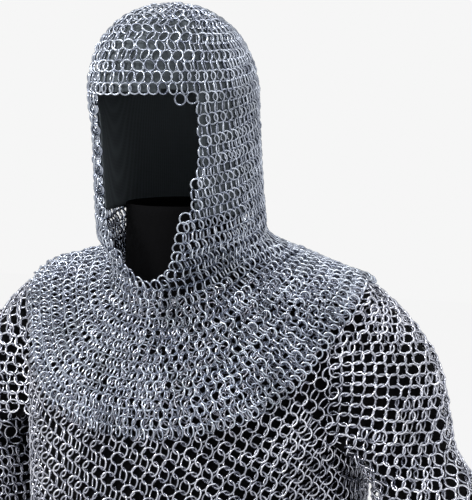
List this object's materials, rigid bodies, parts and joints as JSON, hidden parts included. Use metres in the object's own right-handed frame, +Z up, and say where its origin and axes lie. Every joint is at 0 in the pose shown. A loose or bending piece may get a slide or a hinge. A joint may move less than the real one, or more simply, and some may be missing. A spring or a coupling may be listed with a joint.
{
  "type": "haubergeon with coif",
  "caption": "Ring mail shirt to mid-thigh with half sleeves, and a ring mail hood with a shoulder mantle, worn over a thin black arming tunic and a cap",
  "frame": {"origin": "the point between the wearer's shoulders, in the middle of the garment", "axes": "+Z up along the wearer, -Y the way the wearer faces, +X the wearer's left"},
  "size_m": [0.6537, 0.2912, 1.0157],
  "materials": {
    "shirt_rings": "zinc-plated round steel wire rings, bright with dark gaps",
    "coif_rings": "zinc-plated round steel wire rings, smaller and denser",
    "arming_cloth": "matt black woven cotton",
    "cap_cloth": "matt grey woven linen"
  },
  "bodies": {
    "haubergeon": {"neck_edge_row": "shirt_rings", "yoke_front": "shirt_rings", "shoulder_left": "shirt_rings", "yoke_back": "shirt_rings", "shoulder_right": "shirt_rings", "chest_front": "shirt_rings", "flank_left": "shirt_rings", "chest_back": "shirt_rings", "flank_right": "shirt_rings", "skirt_front": "shirt_rings", "skirt_left": "shirt_rings", "skirt_back": "shirt_rings", "skirt_right": "shirt_rings", "hem_row": "shirt_rings", "tunic_yoke": "arming_cloth", "tunic_body": "arming_cloth", "tunic_collar": "arming_cloth"},
    "mantle": {"neck_left": "coif_rings", "neck_right": "coif_rings", "neck_back": "coif_rings", "neck_base": "coif_rings", "mantle_front": "coif_rings", "mantle_left": "coif_rings", "mantle_back": "coif_rings", "mantle_right": "coif_rings", "mantle_edge_row": "coif_rings"},
    "hood": {"hood_side_left": "coif_rings", "face_edge_left": "coif_rings", "hood_side_right": "coif_rings", "face_edge_right": "coif_rings", "hood_brow": "coif_rings", "hood_back": "coif_rings", "hood_crown": "coif_rings", "cap_crown": "cap_cloth", "cap_sides": "cap_cloth"},
    "sleeve_left": {"sleeve_cap_left": "shirt_rings", "sleeve_left": "shirt_rings", "cuff_row_left": "shirt_rings", "tunic_sleeve_left": "arming_cloth"},
    "sleeve_right": {"sleeve_cap_right": "shirt_rings", "sleeve_right": "shirt_rings", "cuff_row_right": "shirt_rings", "tunic_sleeve_right": "arming_cloth"}
  },
  "joints": [
    {"name": "coif_lift", "type": "slide", "parent": "haubergeon", "child": "mantle", "axis": [0, 0, 1], "range_m": [0, 0.35]},
    {"name": "head_turn", "type": "hinge", "parent": "mantle", "child": "hood", "pos_m": [-0.008, -0.026, 0.1], "axis": [0, 0, 1], "range_deg": [-45, 45]},
    {"name": "arm_raise_left", "type": "hinge", "parent": "haubergeon", "child": "sleeve_left", "pos_m": [0.179, 0, 0.056], "axis": [0, -1, 0], "range_deg": [0, 60]},
    {"name": "arm_raise_right", "type": "hinge", "parent": "haubergeon", "child": "sleeve_right", "pos_m": [-0.179, 0, 0.056], "axis": [0, 1, 0], "range_deg": [0, 60]}
  ]
}
